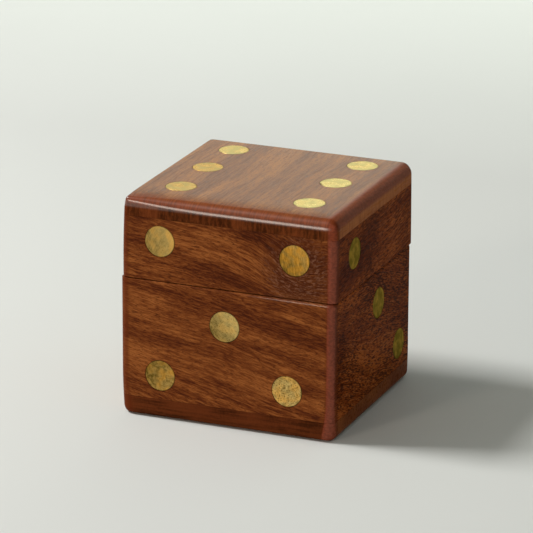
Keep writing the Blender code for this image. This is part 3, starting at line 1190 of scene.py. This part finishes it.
def sweep_finish():
    """Matt painted board with a very faint cloudiness."""
    stage = settings("stage")
    finish = Finish("studio_sweep")
    cloud = finish.noise(finish.object_place(), detail=3.0, scale=3.0)
    tint = finish.mix(finish.span(cloud, 0.3, 0.7), Vector(stage.floor) * 0.97, stage.floor)
    finish.put("Base Color", tint)
    finish.put("Roughness", 0.9)
    finish.put("Specular IOR Level", 0.1)
    return finish.material


class DICEBOX_OT_stage(Operator):
    """Set up the pale floor, the soft light and the camera"""

    bl_idname = "dice_box.stage"
    bl_label = "Stage"

    def execute(self, context):
        stage = settings("stage")
        scene = context.scene
        floor = add_object("studio_sweep", sweep_mesh())
        floor.data.materials.append(sweep_finish())

        box_middle = Vector((0, 0, 40 * MM))
        key_place = box_middle + direction(math.radians(-80), math.radians(50)) * 1.3
        area_light("key_light", key_place, box_middle, 0.36, 0.36, stage.key_power)
        strip_place = box_middle + direction(math.radians(-21), math.radians(11)) * 1.5
        peach = (1.0, 0.86, 0.74)
        area_light("strip_light", strip_place, box_middle, 0.24, 0.6, stage.strip_power, peach)
        back_place, backdrop, mint = (0.0, 0.7, 1.3), (0.0, 1.6, 1.0), (0.91, 1.0, 0.92)
        area_light("back_light", back_place, backdrop, 1.6, 0.3, stage.back_power, mint)

        world = bpy.data.worlds.new("pale_surround")
        world.use_nodes = True
        background = world.node_tree.nodes["Background"]
        background.inputs["Color"].default_value = (0.93, 0.96, 0.93, 1.0)
        background.inputs["Strength"].default_value = stage.world_power
        scene.world = world
        scene.view_settings.view_transform = "Standard"

        aim = Vector((-stage.aim_across, stage.aim_depth, stage.aim_height))
        back = direction(stage.azimuth, stage.elevation)
        data = bpy.data.cameras.new("camera")
        data.lens = stage.lens
        data.sensor_width = 36.0
        data.clip_start = 0.05
        data.clip_end = 20.0
        camera = add_object("camera", data)
        level = (-back).to_track_quat("-Z", "Y").to_matrix().to_4x4()
        place = Matrix.Translation(aim + back * stage.distance)
        camera.matrix_world = place @ level @ Matrix.Rotation(stage.roll, 4, "Z")
        scene.camera = camera
        return {"FINISHED"}


MAKERS = (
    DICEBOX_OT_stage,
    DICEBOX_OT_base_panel,
    DICEBOX_OT_base_walls,
    DICEBOX_OT_liner,
    DICEBOX_OT_lid_walls,
    DICEBOX_OT_lid_panel,
    DICEBOX_OT_pips,
)
GROUPS = {"shape": DiceBoxShape, "wood": DiceBoxWood, "brass": DiceBoxBrass, "stage": DiceBoxStage}


class DICEBOX_PT_sidebar(Panel):
    """Settings and makers of the dice box"""

    bl_idname = "DICEBOX_PT_sidebar"
    bl_label = "Dice Box"
    bl_space_type = "VIEW_3D"
    bl_region_type = "UI"
    bl_category = "Dice Box"

    def draw(self, context):
        for name, group in GROUPS.items():
            box = self.layout.box()
            box.label(text=name.title())
            for key in group.__annotations__:
                box.prop(settings(name), key)
        for maker in MAKERS:
            self.layout.operator(maker.bl_idname)


def register():
    """Registers the settings, the operators and the panel."""
    for group in GROUPS.values():
        bpy.utils.register_class(group)
    for name, group in GROUPS.items():
        setattr(bpy.types.Scene, "dice_box_" + name, PointerProperty(type=group))
    for maker in (*MAKERS, DICEBOX_PT_sidebar):
        bpy.utils.register_class(maker)


def unregister():
    """Takes back what register did, in the opposite order."""
    for maker in (DICEBOX_PT_sidebar, *reversed(MAKERS)):
        bpy.utils.unregister_class(maker)
    for name, group in GROUPS.items():
        delattr(bpy.types.Scene, "dice_box_" + name)
        bpy.utils.unregister_class(group)


def main():
    register()
    for maker in MAKERS:
        group, name = maker.bl_idname.split(".")
        getattr(getattr(bpy.ops, group), name)()


if __name__ == "__main__":
    main()
